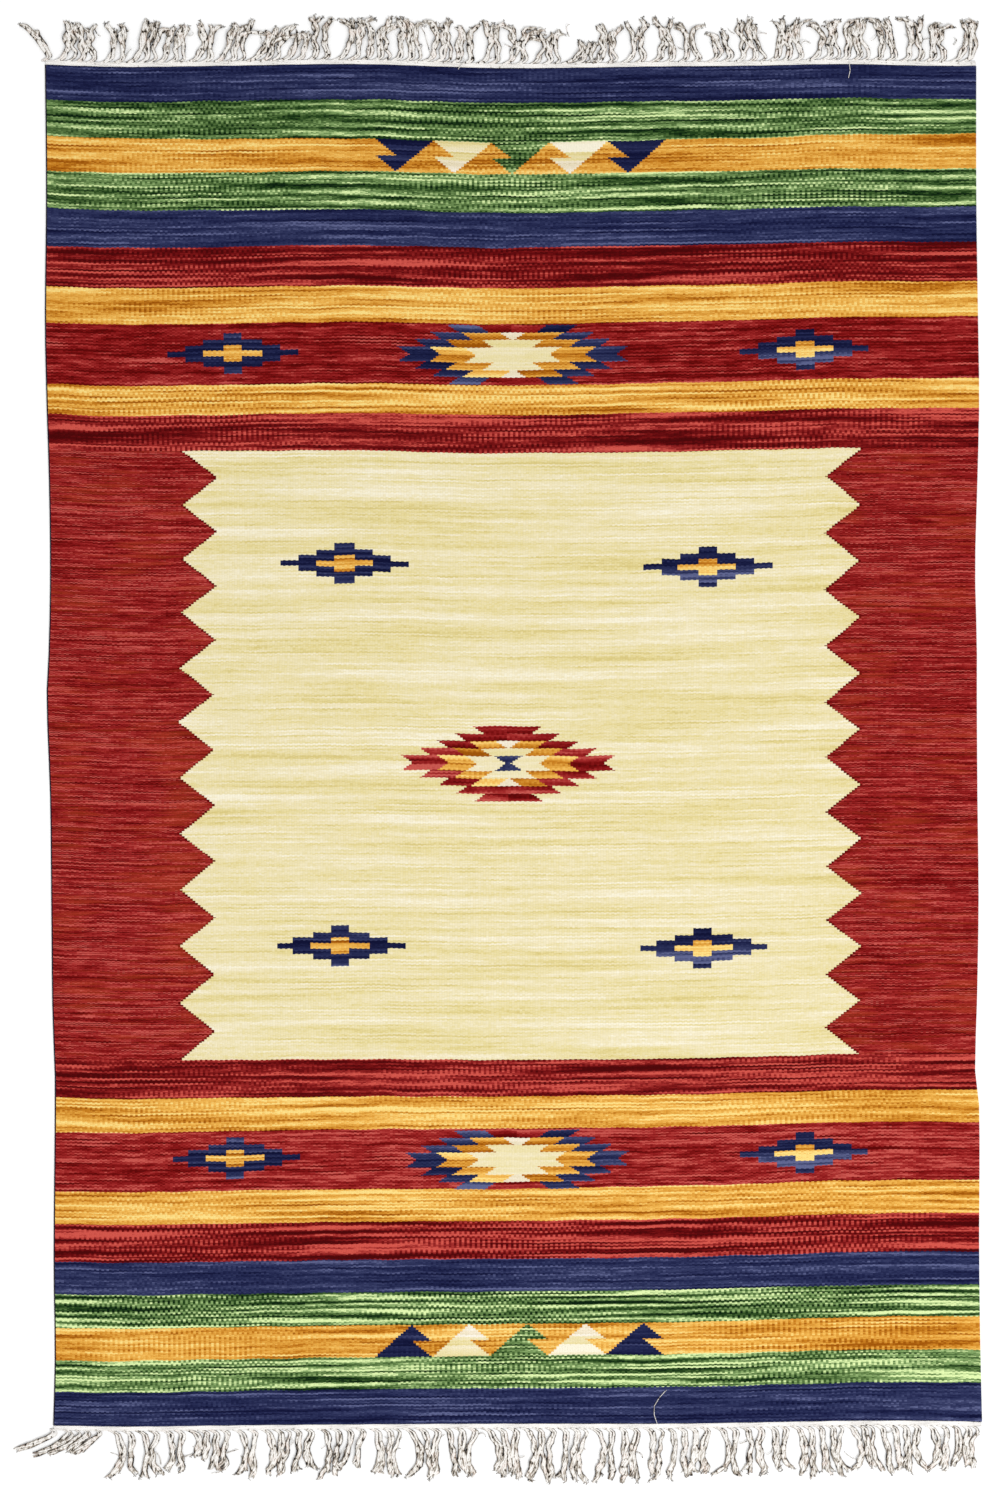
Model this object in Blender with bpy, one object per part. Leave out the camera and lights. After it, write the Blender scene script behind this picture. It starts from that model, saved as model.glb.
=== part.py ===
"""Kilim rug: one flat-woven cloth lying on the floor, with a cut warp fringe at each end.

The warps of the cloth come out of both ends, through a narrow cream heading, and hang
on as loose strands gathered into tufts. The cloth lies flat, its selvedges sway a little
and its ends wave, as hand-woven ones do.

Frame: the origin is the centre of the cloth's underside, on the floor. +Z is up,
+Y runs to the far end and +X to the right selvedge. Sizes below are in millimetres.
"""
import bisect
import math

import bmesh
import bpy
from mathutils import Vector

MM = 0.001

# Cloth
CLOTH_WIDTH = 1600.0
CLOTH_LENGTH = 2336.0
CLOTH_THICK = 3.0
EDGE_ROUND = 0.9          # rounding of the cloth's rim, top and bottom
RIM_STEP_ALONG = 60.0     # spacing of outline points on the selvedges
RIM_STEP_ACROSS = 50.0    # and on the two ends

# Heading strip and fringe
PIECE_GAP = 0.3
HEADING_WIDE = 8.0
HEADING_THICK = 2.4
STRAND_PITCH = 11.0       # along the heading, so about 145 strands an end
WAIST_PITCH = 5.9         # where a tuft is drawn together
TIP_PITCH = 4.8
WAIST_FIRST, WAIST_LAST = 0.38, 0.62    # where the waist can be, as a share of the length
BOW = 6.0                 # most that a tuft bends sideways half way out
ROOT_WIDE, WAIST_WIDE, TIP_WIDE = 6.0, 4.8, 3.0
WAIST_HIGH, TIP_HIGH = 2.8, 1.8
RIDGE_SHARE = 0.6         # a strand's top is narrower than its foot
SECTIONS = (0.22, 0.48, 0.74, 1.0)
TIP_SCATTER = 0.16        # how much shorter the shortest strand of a tuft is
LEAN_LATE = 1.3           # a lean above 1 starts late, so strands leave the heading squarely
STRAND_GAP = 1.1

# Where the selvedges lie, measured across from the rug's middle line.
# Columns: distance from the far end, left selvedge, right selvedge.
SELVEDGES = (
    (0, -806, 796), (220, -804, 796), (440, -806, 799), (580, -803, 801),
    (720, -799, 798), (870, -797, 794), (1000, -799, 797), (1090, -803, 797),
    (1260, -797, 798), (1440, -795, 800), (1630, -793, 797), (1735, -789, 794),
    (1800, -789, 801), (2050, -791, 801), (2210, -789, 803), (2336, -792, 806),
)

# How the two end edges wave. Columns: distance from the left selvedge,
# rise of the far edge and of the near edge towards +Y.
END_WAVES = (
    (0, 2, -2), (130, -2, -4), (300, 0, -2), (540, 3, 0), (780, -4, 1),
    (1060, -1, 1), (1200, 0, 3), (1370, 3, 6), (1520, 0, 6), (1600, 0, 4),
)

# Tufts of the fringe, from the left. Columns: middle of the tuft's roots along the
# heading, lean of its tip to the right, reach from the heading, half gap of its fork.
FAR_TUFTS = (
    (5, -42, 64, 0), (35, 0, 74, 0), (80, -8, 72, 8), (120, 0, 70, 6),
    (170, 22, 76, 8), (222, 14, 69, 6), (272, 8, 71, 9), (320, 26, 74, 5),
    (380, 34, 66, 8), (433, 16, 52, 3), (478, 2, 84, 4), (520, 14, 79, 4),
    (575, 4, 79, 16), (625, 0, 81, 3), (680, 0, 79, 8), (725, 5, 72, 6),
    (768, 0, 81, 6), (810, 0, 77, 12), (867, 4, 64, 11), (920, 10, 40, 4),
    (968, 6, 69, 12), (1018, 2, 76, 9), (1067, -2, 79, 9), (1116, -8, 74, 10),
    (1165, -18, 55, 4), (1213, -20, 77, 7), (1282, 0, 77, 9), (1344, -3, 79, 12),
    (1398, -5, 81, 6), (1450, -16, 81, 4), (1496, -5, 81, 6), (1538, 0, 74, 8),
    (1580, 6, 77, 6),
)
NEAR_TUFTS = (
    (6, -80, 36, 0), (36, -66, 48, 0), (78, -48, 44, 0), (120, -4, 83, 9),
    (172, -5, 86, 6), (214, -2, 76, 8), (256, -6, 52, 4), (292, -4, 76, 6),
    (334, -6, 88, 8), (390, -2, 83, 5), (438, -2, 79, 10), (482, -8, 88, 6),
    (526, -16, 71, 6), (572, -4, 86, 10), (638, 0, 89, 9), (711, 6, 88, 7),
    (771, 8, 88, 8), (848, -7, 98, 12), (902, -7, 98, 6), (951, -3, 93, 12),
    (1000, -4, 95, 8), (1040, -5, 93, 3), (1076, -7, 91, 8), (1120, -7, 86, 9),
    (1165, -6, 89, 12), (1210, 2, 86, 9), (1258, 2, 81, 9), (1293, 0, 95, 3),
    (1338, 8, 91, 9), (1396, 11, 83, 12), (1440, 14, 86, 4), (1481, 4, 83, 7),
    (1526, -3, 83, 9), (1572, -4, 74, 8),
)


def along_table(table, column, at):
    """Smooth reading of one column of a table, through every row."""
    stations = [row[0] for row in table]
    low = min(max(bisect.bisect_right(stations, at) - 1, 0), len(table) - 2)

    def slope(row):
        before, after = max(row - 1, 0), min(row + 1, len(table) - 1)
        return (table[after][column] - table[before][column]) / (stations[after] - stations[before])

    span = stations[low + 1] - stations[low]
    t = min(max((at - stations[low]) / span, 0.0), 1.0)
    start, end = table[low][column], table[low + 1][column]
    return (start * (1 + 2 * t) * (1 - t) ** 2 + end * t * t * (3 - 2 * t)
            + span * t * (1 - t) * (slope(low) * (1 - t) - slope(low + 1) * t))


def selvedge(side, down):
    """Plan point on a selvedge: side 1 is the left one and 2 the right one."""
    return Vector((along_table(SELVEDGES, side, down), CLOTH_LENGTH / 2 - down))


def end_edge(end, along, out=0.0):
    """Plan point on the far (end 1) or near (end -1) edge, a distance out from it."""
    down = 0.0 if end > 0 else CLOTH_LENGTH
    left, right = selvedge(1, down), selvedge(2, down)
    wave = along_table(END_WAVES, 1 if end > 0 else 2, along)
    x = left.x + (right.x - left.x) * along / CLOTH_WIDTH
    return Vector((x, end * (CLOTH_LENGTH / 2 + out) + wave))


def steps(length, spacing):
    """Even stations from 0 to length, no further apart than the spacing."""
    count = math.ceil(length / spacing)
    return [length * i / count for i in range(count + 1)]


def tuft_strands(tufts, number):
    """Routes of one tuft's strands, from their roots to their tips.

    A strand's place in the tuft runs from -1 to 1. All strands of a tuft share one
    flow, drawn together at the waist and forked at the tip, so they never cross.
    """
    middle, lean, reach, fork = tufts[number]
    low = (tufts[number - 1][0] + middle) / 2 if number else 0.0
    last = number == len(tufts) - 1
    high = CLOTH_WIDTH if last else (middle + tufts[number + 1][0]) / 2
    count = max(1, round((high - low) / STRAND_PITCH))
    waist = WAIST_FIRST + (WAIST_LAST - WAIST_FIRST) * (number * 0.53 % 1.0)
    bow = BOW * math.sin(number * 2.4)
    root_pitch = (high - low) / count
    slant = math.hypot(lean, reach) / reach

    def flow(place, share):
        gather = math.sin(math.pi / 2 * min(share / waist, 1.0)) ** 2
        spread = math.sin(math.pi / 2 * max((share - waist) / (1 - waist), 0.0)) ** 2
        waist_pitch = min(WAIST_PITCH * slant, root_pitch)
        pitch = root_pitch + (waist_pitch - root_pitch) * gather
        pitch += (min(TIP_PITCH * slant, root_pitch) - waist_pitch) * spread
        along = (low + high) / 2 + lean * share ** LEAN_LATE + bow * math.sin(math.pi * share)
        along += place * pitch * count / 2 + math.copysign(fork * spread, place) * (count > 1)
        return along, reach * share, pitch

    def route(slot):
        end = 1 - TIP_SCATTER * ((slot * 0.618 + number * 0.37) % 1.0)
        return lambda t: flow((slot + 0.5) / count * 2 - 1, t * end)

    return [route(slot) for slot in range(count)]


def strand_section(t):
    """Foot width and height of a strand at a share of its length."""
    if t < 0.5:
        share = t / 0.5
        return (ROOT_WIDE + (WAIST_WIDE - ROOT_WIDE) * share,
                HEADING_THICK + (WAIST_HIGH - HEADING_THICK) * share)
    share = (t - 0.5) / 0.5
    return (WAIST_WIDE + (TIP_WIDE - WAIST_WIDE) * share,
            WAIST_HIGH + (TIP_HIGH - WAIST_HIGH) * share)


def strand_corners(end, route, t):
    """The four corners of a strand's section, by side (-1 or 1) and by top or foot."""
    along, depth, pitch = route(t)
    centre = end_edge(end, along, PIECE_GAP + HEADING_WIDE + depth)
    ahead, behind = route(min(t + 0.05, 1.0)), route(t - 0.05)
    tangent = Vector((ahead[0] - behind[0], end * (ahead[1] - behind[1]))).normalized()
    across = Vector((tangent.y, -tangent.x)) * end
    wide, high = strand_section(t)
    wide = min(wide, pitch * abs(tangent.y) - STRAND_GAP)
    corners = {}
    for side in (-1, 1):
        foot = centre + across * wide / 2 * side
        ridge = centre + across * wide * RIDGE_SHARE / 2 * side
        corners[side, False] = Vector((foot.x, foot.y, 0.0)) * MM
        corners[side, True] = Vector((ridge.x, ridge.y, high)) * MM
    return corners


def extrude_strand(bm, root_face, end, route):
    """Draw a strand out of its root on the heading, section by section."""
    face = root_face
    for t in SECTIONS:
        middle = face.calc_center_median()
        roles = [(1 if vert.co.x > middle.x else -1, vert.co.z > middle.z)
                 for vert in face.verts]
        face = bmesh.ops.extrude_discrete_faces(bm, faces=[face])["faces"][0]
        corners = strand_corners(end, route, t)
        for vert, role in zip(face.verts, roles):
            vert.co = corners[role]


def material(name, colour, roughness):
    made = bpy.data.materials.new(name)
    made.use_nodes = True
    shader = made.node_tree.nodes["Principled BSDF"]
    shader.inputs["Base Color"].default_value = (*colour, 1.0)
    shader.inputs["Roughness"].default_value = roughness
    return made


def finish(bm, name, look):
    bmesh.ops.recalc_face_normals(bm, faces=bm.faces)
    mesh = bpy.data.meshes.new(name)
    bm.to_mesh(mesh)
    bm.free()
    mesh.materials.append(look)
    piece = bpy.data.objects.new(name, mesh)
    bpy.context.scene.collection.objects.link(piece)
    return piece


def slab(bm, outline, thick):
    """A flat plate on the floor from its plan outline; returns its lowest face's points."""
    feet = [bm.verts.new((point.x * MM, point.y * MM, 0.0)) for point in outline]
    base = bm.faces.new(feet)
    made = bmesh.ops.extrude_face_region(bm, geom=[base])["geom"]
    top = [item for item in made if isinstance(item, bmesh.types.BMVert)]
    bmesh.ops.translate(bm, verts=top, vec=(0.0, 0.0, thick * MM))
    return feet


def make_cloth():
    bm = bmesh.new()
    outline = [selvedge(1, down) for down in steps(CLOTH_LENGTH, RIM_STEP_ALONG)][1:-1]
    outline += [end_edge(-1, along) for along in steps(CLOTH_WIDTH, RIM_STEP_ACROSS)]
    outline += [selvedge(2, down) for down in reversed(steps(CLOTH_LENGTH, RIM_STEP_ALONG))][1:-1]
    outline += [end_edge(1, along) for along in reversed(steps(CLOTH_WIDTH, RIM_STEP_ACROSS))]
    slab(bm, outline, CLOTH_THICK)
    rim = [edge for edge in bm.edges
           if abs(edge.verts[0].co.z - edge.verts[1].co.z) < EDGE_ROUND * MM]
    bmesh.ops.bevel(bm, geom=rim, offset=EDGE_ROUND * MM, segments=1, profile=0.5,
                    affect="EDGES", material=-1)
    return finish(bm, "kilim_cloth", material("striped_wool", (0.62, 0.27, 0.07), 0.9))


def make_fringe(name, end, tufts):
    """Heading strip with every strand of one end fused into it."""
    routes = [route for number in range(len(tufts)) for route in tuft_strands(tufts, number)]
    outer = [0.0]
    for route in routes:
        root = route(0.0)[0]
        outer += [root - ROOT_WIDE / 2, root + ROOT_WIDE / 2]
    outer.append(CLOTH_WIDTH)
    bm = bmesh.new()
    outline = [end_edge(end, along, PIECE_GAP + HEADING_WIDE) for along in outer]
    inner = [end_edge(end, along, PIECE_GAP) for along in steps(CLOTH_WIDTH, RIM_STEP_ACROSS)]
    feet = slab(bm, outline + inner[::-1], HEADING_THICK)
    root_faces = []
    for number in range(len(routes)):
        edge = bm.edges.get((feet[2 * number + 1], feet[2 * number + 2]))
        root_faces.append(min(edge.link_faces, key=lambda face: len(face.verts)))
    for face, route in zip(root_faces, routes):
        extrude_strand(bm, face, end, route)
    print(name, "strands:", len(routes))
    return finish(bm, name, material(name + "_cotton", (0.78, 0.73, 0.64), 0.9))


def main():
    for thing in list(bpy.data.objects):
        bpy.data.objects.remove(thing)
    make_cloth()
    make_fringe("far_fringe", 1, FAR_TUFTS)
    make_fringe("near_fringe", -1, NEAR_TUFTS)


main()
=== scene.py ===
# %% [markdown]
# # A kilim rug
#
# The real thing is a flat-woven floor rug, 1.6 m wide. Coloured weft yarn is beaten down
# over cotton warps until the warps are hidden, so each side of the cloth shows only weft.
# The warps come out at both ends as a loose cream fringe. A few woven bands run across
# each end, and a cream field with toothed red sides and small stepped motifs lies between.
#
# The solids that carry the size are loaded first and stay where they are. Three pieces are
# made over them: the cloth, and the fringe at each end.

import math

import bmesh
import bpy
import numpy as np
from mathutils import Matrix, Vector


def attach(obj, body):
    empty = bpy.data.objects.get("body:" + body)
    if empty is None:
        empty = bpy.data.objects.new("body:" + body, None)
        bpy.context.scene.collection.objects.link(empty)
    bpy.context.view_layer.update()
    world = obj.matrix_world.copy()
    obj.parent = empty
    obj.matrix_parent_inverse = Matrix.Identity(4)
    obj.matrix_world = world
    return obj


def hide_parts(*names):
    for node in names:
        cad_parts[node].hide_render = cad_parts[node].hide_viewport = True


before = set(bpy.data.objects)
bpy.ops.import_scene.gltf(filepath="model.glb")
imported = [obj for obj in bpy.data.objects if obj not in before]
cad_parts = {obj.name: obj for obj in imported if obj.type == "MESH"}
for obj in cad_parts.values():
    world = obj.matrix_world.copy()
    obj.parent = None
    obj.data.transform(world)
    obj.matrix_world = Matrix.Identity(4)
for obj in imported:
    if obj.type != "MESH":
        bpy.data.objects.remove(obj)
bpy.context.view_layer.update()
MM = 0.001
CLOTH_WIDTH, CLOTH_LENGTH = 1600.0, 2336.0      # the size woven, in millimetres
print("solids:", sorted(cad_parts))

# %% [markdown]
# ## Light, floor and camera
#
# A rug is laid out and looked at from straight above. A long lens, far away, keeps its
# sides parallel. The light is that of a bright overcast studio: most of it comes from
# everywhere, which leaves colours as they were dyed, and a wide lamp to one side adds just
# enough direction to show the ribs. Together they light the floor over white, so that the
# soft shadows round the rug stay pale. The yarns would come out too light in it, so their
# colours are taken down by that share, less what they lose in their own small shadows, and
# show as dyed in the plain Standard view.

# %% Floor, light and camera
VIEW_LENGTH = 2.5806                            # from top to bottom, in metres
VIEW_MIDDLE = (-0.0232, -0.0086)
CAMERA_HEIGHT = 9.0
SENSOR_LONG_SIDE = 36.0
LIGHT = 1.24                                    # 1 would just make a white floor white
OWN_SHADE = 1.15                                # what the yarns lose between their beads
AS_SEEN = OWN_SHADE / LIGHT                     # how far the yarns' colours are taken down
SKY_SHARE = 0.68                                # of the floor's light, the rest is the lamp's
LAMP_PLACE = (3.0, -3.6, 6.5)
LAMP_SIDE = 4.0


def placed(name, data):
    """A new object with this data, put into the scene."""
    thing = bpy.data.objects.new(name, data)
    bpy.context.scene.collection.objects.link(thing)
    return thing


def material(name, values):
    """A material whose one shader has these values, and that shader."""
    made = bpy.data.materials.new(name)
    made.use_nodes = True
    shader = made.node_tree.nodes["Principled BSDF"]
    for slot, value in values.items():
        shader.inputs[slot].default_value = value
    return made, shader


def lay_floor(half_side=6.0, white=0.96):
    bm = bmesh.new()
    bmesh.ops.create_grid(bm, x_segments=1, y_segments=1, size=half_side)
    mesh = bpy.data.meshes.new("studio_floor")
    bm.to_mesh(mesh)
    bm.free()
    colour = (white, white, white, 1.0)
    pale, _ = material(
        "pale_floor", {"Base Color": colour, "Roughness": 0.9, "Specular IOR Level": 0.1}
    )
    mesh.materials.append(pale)
    floor = placed("studio_floor", mesh)


def set_light():
    world = bpy.data.worlds.new("studio_sky")
    world.use_nodes = True
    sky = world.node_tree.nodes["Background"]
    sky.inputs["Color"].default_value = (1.0, 1.0, 1.0, 1.0)
    sky.inputs["Strength"].default_value = LIGHT * SKY_SHARE
    bpy.context.scene.world = world
    lamp = bpy.data.lights.new("studio_lamp", "AREA")
    lamp.shape = "SQUARE"
    lamp.size = LAMP_SIDE
    place = Vector(LAMP_PLACE)
    distance = place.length
    facing = place.z / distance
    # A square lamp of power W lights a surface at a distance d with W / (pi d^2) watts a
    # square metre times the two cosines, and a white floor needs pi to look white.
    lamp.energy = LIGHT * (1 - SKY_SHARE) * math.pi * math.pi * distance ** 2 / facing
    thing = placed("studio_lamp", lamp)
    thing.location = place
    thing.rotation_euler = (-place).to_track_quat("-Z", "Y").to_euler()
    return lamp.energy


def set_camera():
    lens = bpy.data.cameras.new("overhead_camera")
    lens.sensor_width = SENSOR_LONG_SIDE
    lens.lens = SENSOR_LONG_SIDE * CAMERA_HEIGHT / VIEW_LENGTH
    lens.clip_end = 100.0
    camera = placed("overhead_camera", lens)
    camera.location = (*VIEW_MIDDLE, CAMERA_HEIGHT)
    bpy.context.scene.camera = camera
    return lens.lens


lay_floor()
print("lamp power:", round(set_light()), "lens:", round(set_camera(), 1), "mm")
bpy.context.scene.view_settings.view_transform = "Standard"

# %% [markdown]
# ## The outline that the solids give
#
# The selvedges of a hand-woven rug sway by a few millimetres and its ends wave. The packed
# cloth solid has that outline, so it is read from there instead of being stated again:
# the points half way up its rim are sorted into two selvedges and two ends, and any point
# between them is interpolated.

# %% Read the rim of the cloth solid
HALF_WAY_UP = (0.5, 2.5)                        # heights of the rim's middle points
SIDE_SWAY, END_SWAY = 25, 20                    # more than the rim lies inside the size


def rim_of(node):
    """The rim's plan points, in millimetres, by side."""
    points = {tuple(round(c / MM, 3) for c in v.co) for v in node.data.vertices}
    wall = np.array([p[:2] for p in points if HALF_WAY_UP[0] < p[2] < HALF_WAY_UP[1]])
    across, up = wall[:, 0], wall[:, 1]
    side, end = CLOTH_WIDTH / 2 - SIDE_SWAY, CLOTH_LENGTH / 2 - END_SWAY

    def in_order(chosen, key):
        part = wall[chosen]
        return part[np.argsort(part[:, key])]

    return {
        "left": in_order(across < -side, 1), "right": in_order(across > side, 1),
        "far": in_order(up > end, 0), "near": in_order(up < -end, 0),
    }


rim = rim_of(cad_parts["kilim_cloth"])


def selvedge(side, up):
    """How far across a selvedge lies at a height up the plan."""
    return np.interp(up, rim[side][:, 1], rim[side][:, 0])


def end_line(side, across):
    """How far up the plan an end lies at a place across."""
    return np.interp(across, rim[side][:, 0], rim[side][:, 1])


print("rim points:", {side: len(points) for side, points in rim.items()})

# %% [markdown]
# ## The cloth
#
# A kilim has no pile, so the cloth is a sheet 3 mm thick with round selvedges. It is woven
# as a straight chart, a distance across from the left selvedge and a distance down from
# the far end, and then pulled a little out of square by beating. So a grid is made in
# chart sizes and each point is carried to its place between the rims. The bands were
# beaten unevenly, and a short table says how far each is pushed down at the left, in the
# middle and at the right.

# %% Sizes of the cloth sheet
CLOTH_THICK = 3.0
EDGE_STEPS = (0.0, 0.5, 1.2, 2.2, 3.6, 5.6, 8.4)     # finer cells towards a rim
CELLS_ACROSS, CELLS_DOWN = 150, 236
ROUND_EDGE = 1.6
SELVEDGE_CORD, SELVEDGE_SOFT = 2.4, 1.6              # place and width of the doubled warps
SELVEDGE_RISE, WAVE_RISE = 0.35, 0.35

# How far the picks are pushed towards the near end.
# Columns: distance down, push at the left selvedge, in the middle, at the right selvedge.
BEATING = (
    (0, 0, 0, 0), (60, 0, 0, -3), (126, -4, 3, -9), (182, 0, 1, -5), (248, -3, 2, -6),
    (308, 3, 2, -5), (440, 4, 3, -7), (600, 4, 3, -6), (665, -5, 1, -6), (1200, -3, 1, -4),
    (1706, -1, 3, -5), (1828, 6, 1, -7), (1927, 7, 3, -8), (2100, 6, 3, -5),
    (2160, 8, 4, -6), (2216, 9, 3, -4), (2273, 6, 2, -4), (2336, 0, 0, 0),
)


def graded(length, cells):
    """Even stations along a length, with finer ones towards both of its ends."""
    edge = np.array(EDGE_STEPS)
    even = np.linspace(edge[-1], length - edge[-1], cells + 1)[1:-1]
    return np.concatenate([edge, even, length - edge[::-1]])


def pushed(across, down):
    """How far beating has moved a point towards the near end."""
    table = np.array(BEATING, float)
    left, middle, right = (np.interp(down, table[:, 0], table[:, column]) for column in (1, 2, 3))
    place = 2 * across / CLOTH_WIDTH - 1
    return middle + (right - left) / 2 * place + ((left + right) / 2 - middle) * place ** 2


def in_plan(across, down):
    """Plan place of a chart point, in millimetres from the rug's middle."""
    level = CLOTH_LENGTH / 2 - down
    left, right = selvedge("left", level), selvedge("right", level)
    x = left + (right - left) * across / CLOTH_WIDTH
    far, near = end_line("far", x), end_line("near", x)
    return x, far + (near - far) * down / CLOTH_LENGTH - pushed(across, down)


def unevenness(across, down):
    """Slow waves of a cloth that doesn't lie quite flat, from -1 to 1."""
    return (np.sin(across / 97 + down / 260) * 0.4 + np.sin(down / 71 - across / 330) * 0.35
            + np.sin(across / 38 + 2.0) * np.sin(down / 47) * 0.25)


corner = in_plan(0.0, 0.0)
print("the chart's first corner lies at:", [round(float(part), 1) for part in corner], "mm")

# %% [markdown]
# ## One sheet with two sides
#
# A cloth simulation could lay the rug down, but it lies flat already, so its small waves
# are a sum of sines and the result is the same each time. A grid is made for the top. The
# underside is the same grid again, turned over, and a band of faces joins the two rims. The
# chart places are kept as a UV map, because the weave's colours are worked out in them.

# %% Lay the cloth sheet
def rim_round(across, down):
    """Share of the half thickness that is left at a point near the rim, 0 to 1."""
    inward = np.minimum.reduce([across, CLOTH_WIDTH - across, down, CLOTH_LENGTH - down])
    inward = np.clip(inward / ROUND_EDGE, 0.0, 1.0)
    return np.sqrt(1 - (1 - inward) ** 2)


def read(items, name, parts=1, kind=float):
    """One property of all the items, with a row for each."""
    values = np.zeros(len(items) * parts, kind)
    items.foreach_get(name, values)
    return values.reshape(-1, parts)


def set_uv(mesh, name, places):
    """A UV map with these places, one for each corner of the mesh's faces."""
    layer = mesh.uv_layers.new(name=name)
    layer.data.foreach_set("uv", places.astype(np.float32).ravel())


def make_cloth():
    across_at = graded(CLOTH_WIDTH, CELLS_ACROSS)
    down_at = graded(CLOTH_LENGTH, CELLS_DOWN)
    columns, rows = len(across_at) - 1, len(down_at) - 1
    bm = bmesh.new()
    bmesh.ops.create_grid(bm, x_segments=columns, y_segments=rows, size=0.5)
    top_rim = [edge for edge in bm.edges if edge.is_boundary]
    below = bmesh.ops.duplicate(bm, geom=bm.verts[:] + bm.edges[:] + bm.faces[:])["geom"]
    below_faces = [item for item in below if isinstance(item, bmesh.types.BMFace)]
    below_edges = [item for item in below if isinstance(item, bmesh.types.BMEdge)]
    below_rim = [edge for edge in below_edges if edge.is_boundary]
    bmesh.ops.reverse_faces(bm, faces=below_faces)
    lower = {vert for face in below_faces for vert in face.verts}
    bmesh.ops.translate(bm, verts=list(lower), vec=(0.0, 0.0, -1.0))
    bmesh.ops.bridge_loops(bm, edges=top_rim + below_rim)
    mesh = bpy.data.meshes.new("woven_cloth")
    bm.to_mesh(mesh)
    bm.free()

    points = read(mesh.vertices, "co", 3)
    across = across_at[np.rint((points[:, 0] + 0.5) * columns).astype(int)]
    down = down_at[np.rint((0.5 - points[:, 1]) * rows).astype(int)]
    is_top = points[:, 2] > -0.5

    x, y = in_plan(across, down)
    half = CLOTH_THICK / 2 * rim_round(across, down)
    inward = np.minimum(across, CLOTH_WIDTH - across)
    cord = SELVEDGE_RISE * np.exp(-((inward - SELVEDGE_CORD) / SELVEDGE_SOFT) ** 2)
    wave = WAVE_RISE * unevenness(across, down) * rim_round(across, down)
    height = np.where(is_top, CLOTH_THICK / 2 + half + cord + wave, CLOTH_THICK / 2 - half)
    mesh.vertices.foreach_set("co", (np.stack([x, y, height], axis=1) * MM).ravel())
    point = read(mesh.loops, "vertex_index", 1, int)[:, 0]
    across, down = across[point], down[point]
    set_uv(mesh, "Chart", np.stack([across, down], axis=1) * MM)
    set_uv(mesh, "OFBake", np.stack([across / CLOTH_WIDTH, 1 - down / CLOTH_LENGTH], axis=1))
    mesh.shade_smooth()
    mesh.update()
    return placed("woven_cloth", mesh)


cloth = make_cloth()
print("cloth faces:", len(cloth.data.polygons))

# %% [markdown]
# ## Sums in a material
#
# The pattern of a kilim is arithmetic: counts of warps and picks. A material can do
# arithmetic with Math nodes, but hundreds of them wired by hand are hard to read. The
# small class below wraps a socket, so that a Python sum such as a * 2 + b adds the nodes
# and the links for it, and the pattern can be written as formulas.

# %% A number in a material
def new_node(tree, kind, inputs, **settings):
    """A new node. Its inputs are values, numbers of the material or sockets to link."""
    node = tree.nodes.new(kind)
    for name, value in settings.items():
        setattr(node, name, value)
    for slot, value in inputs.items():
        value = getattr(value, "socket", value)
        if isinstance(value, bpy.types.NodeSocket):
            tree.links.new(value, node.inputs[slot])
        else:
            node.inputs[slot].default_value = value
    return node


def sum_of_two(operation):
    """A method that adds one Math node for a number and another."""
    return lambda self, other: self.math(operation, self, other)


class Term:
    """A number in a material's node tree. A sum with it adds Math nodes."""

    def __init__(self, tree, socket):
        self.tree, self.socket = tree, socket

    def math(self, operation, *values):
        inputs = dict(enumerate(values))
        node = new_node(self.tree, "ShaderNodeMath", inputs, operation=operation)
        return Term(self.tree, node.outputs[0])

    __add__ = __radd__ = sum_of_two("ADD")
    __mul__ = __rmul__ = sum_of_two("MULTIPLY")
    __sub__, __truediv__ = sum_of_two("SUBTRACT"), sum_of_two("DIVIDE")
    __gt__, __lt__ = sum_of_two("GREATER_THAN"), sum_of_two("LESS_THAN")

    def __rsub__(self, other):
        return self.math("SUBTRACT", other, self)

    def __abs__(self):
        return self.math("ABSOLUTE", self)

    def floor(self):
        return self.math("FLOOR", self)

    def fraction(self):
        return self.math("FRACT", self)

    def wave(self):
        """The sine of whole turns: it repeats each time the number grows by one."""
        return self.math("SINE", self * (2 * math.pi))

    def clamped(self):
        return self.math("MINIMUM", self.math("MAXIMUM", self, 0.0), 1.0)


def choose(mask, inside, outside):
    """inside where the mask is 1, outside where it is 0."""
    return mask.math("MULTIPLY_ADD", mask, inside - outside, outside)


print("a material can also take:", sorted(name for name in vars(Term) if name[0] != "_"))

# %% [markdown]
# ## Noise, ramps and colours
#
# Hand-spun yarn is uneven in two ways: its thickness and dye change softly along it, and
# single beads stand out. Soft noise gives the first and a random number for each bead the
# second, both read at two numbers of the pattern. A ramp then turns a number into a
# colour. A shader counts light, not what a screen is told, so colours are converted.

# %% Read noise, and turn numbers into colours
def texture(across, down, kind, output, **inputs):
    """A flat texture, read at two numbers."""
    tree = across.tree
    place = new_node(tree, "ShaderNodeCombineXYZ", {"X": across, "Y": down})
    inputs["Vector"] = place.outputs["Vector"]
    return Term(tree, new_node(tree, kind, inputs, noise_dimensions="2D").outputs[output])


def noise(across, down, detail=0.0):
    """Soft noise over two numbers, from about -1 to 1, with lumps of size 1."""
    grey = texture(across, down, "ShaderNodeTexNoise", "Fac", Scale=1.0, Detail=detail)
    return (grey - 0.5) * 3.0


def speckle(across, down):
    """Another number from -0.5 to 0.5 for each pair of whole numbers."""
    return texture(across, down, "ShaderNodeTexWhiteNoise", "Value") - 0.5


def two_parts(tree, socket):
    """The first two numbers of a place."""
    split = new_node(tree, "ShaderNodeSeparateXYZ", {"Vector": socket})
    return Term(tree, split.outputs["X"]), Term(tree, split.outputs["Y"])


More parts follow.
